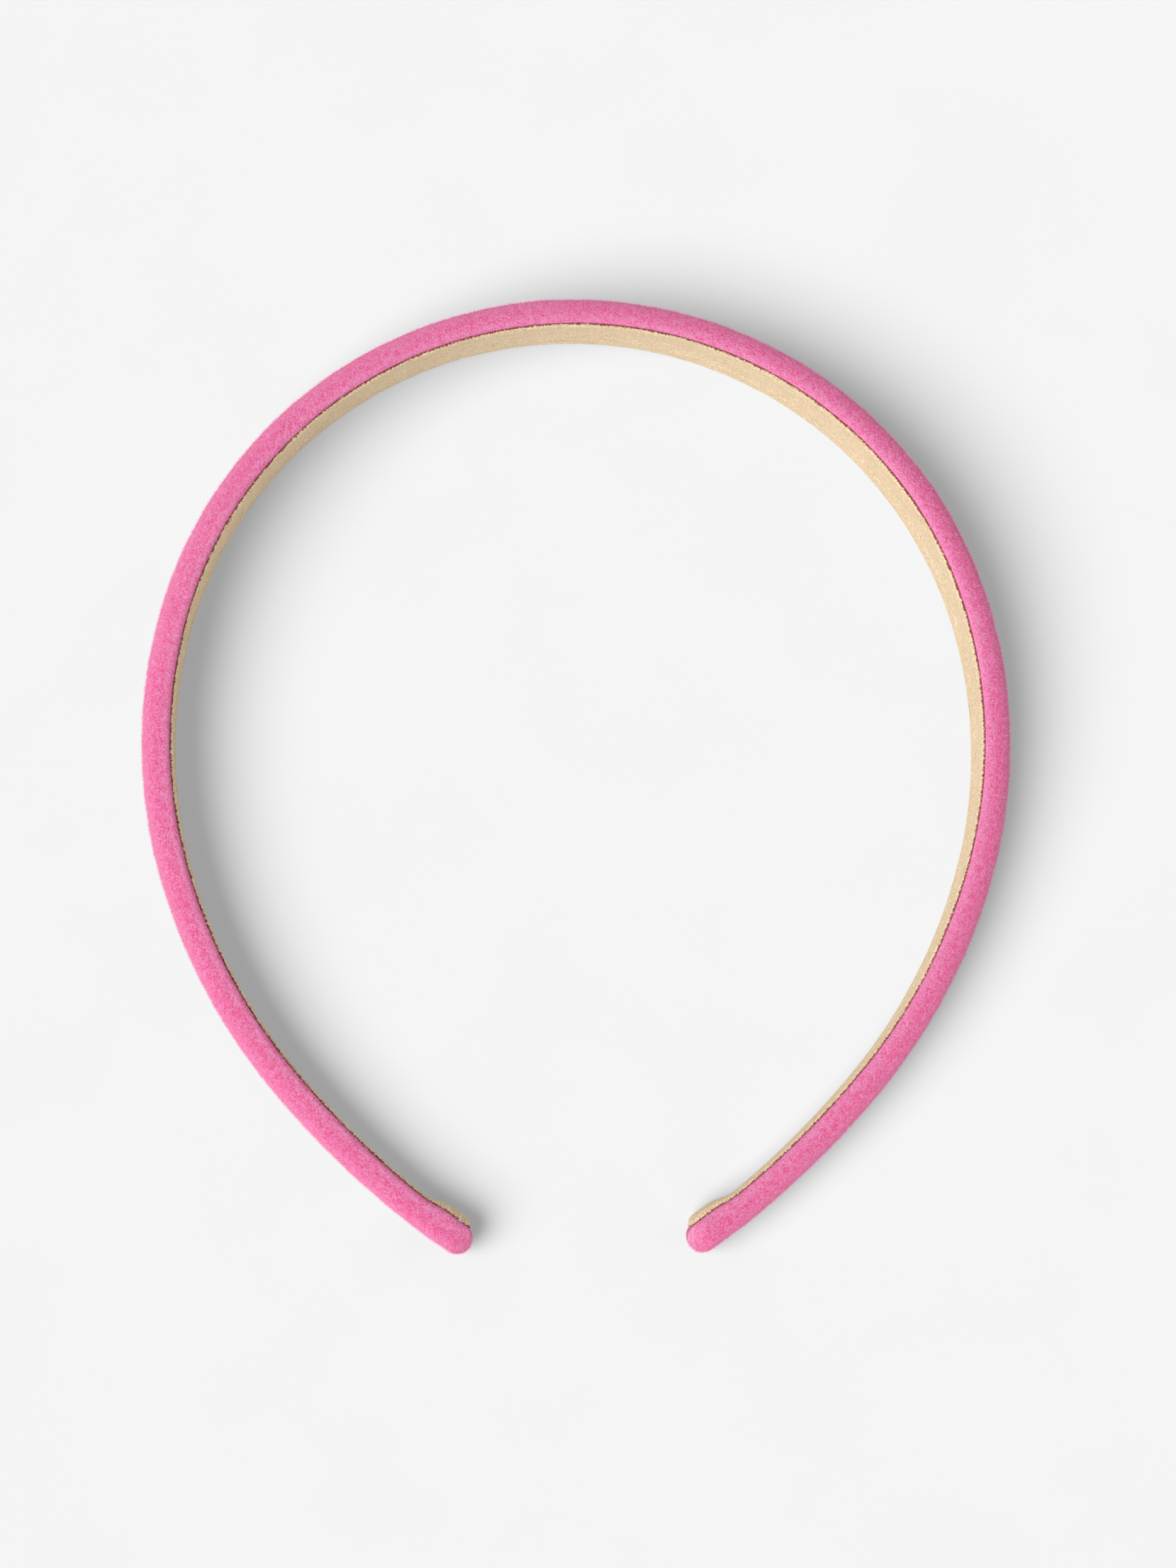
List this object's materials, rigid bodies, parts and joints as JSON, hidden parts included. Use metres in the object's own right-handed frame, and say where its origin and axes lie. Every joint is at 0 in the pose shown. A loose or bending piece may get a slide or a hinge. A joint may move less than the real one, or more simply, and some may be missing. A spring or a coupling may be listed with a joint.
{
  "type": "padded headband",
  "caption": "Slim padded headband: sprung steel core and foam pad under a pink pile cover, with a tan lining inside.",
  "frame": {"origin": "bottom centre of the headband's box as it lies on its edge", "axes": "+Z along the band's width, +Y from the tips to the crown, X from ear to ear"},
  "size_m": [0.1288, 0.1416, 0.015],
  "materials": {
    "spring_steel": "bright rolled strip",
    "cap_plastic": "moulded",
    "tape": "double-sided adhesive tape",
    "foam": "open-cell foam",
    "pink_velour": "short dense pile",
    "glue": "dried white glue",
    "tan_suede": "brushed microsuede with a heat-cut brown edge"
  },
  "bodies": {
    "crown": {"core_crown": "spring_steel", "tape_crown": "tape", "pad_crown": "foam", "cover_crown": "pink_velour", "lining_glue_crown": "glue", "lining_crown": "tan_suede"},
    "left_arm": {"core_left": "spring_steel", "tip_cap_left": "cap_plastic", "tape_left": "tape", "pad_left": "foam", "cover_left": "pink_velour", "lining_glue_left": "glue", "lining_left": "tan_suede", "glue_bead": "glue"},
    "right_arm": {"core_right": "spring_steel", "tip_cap_right": "cap_plastic", "tape_right": "tape", "pad_right": "foam", "cover_right": "pink_velour", "lining_glue_right": "glue", "lining_right": "tan_suede"}
  },
  "joints": [
    {"name": "flex_left", "type": "hinge", "parent": "crown", "child": "left_arm", "pos_m": [-0.05409, 0.04177, 0.0075], "axis": [0, 0, -1], "range_deg": [0, 24], "stiffness_Nm_per_rad": 0.45},
    {"name": "flex_right", "type": "hinge", "parent": "crown", "child": "right_arm", "pos_m": [0.05409, 0.04177, 0.0075], "axis": [0, 0, 1], "range_deg": [0, 24], "stiffness_Nm_per_rad": 0.45}
  ]
}
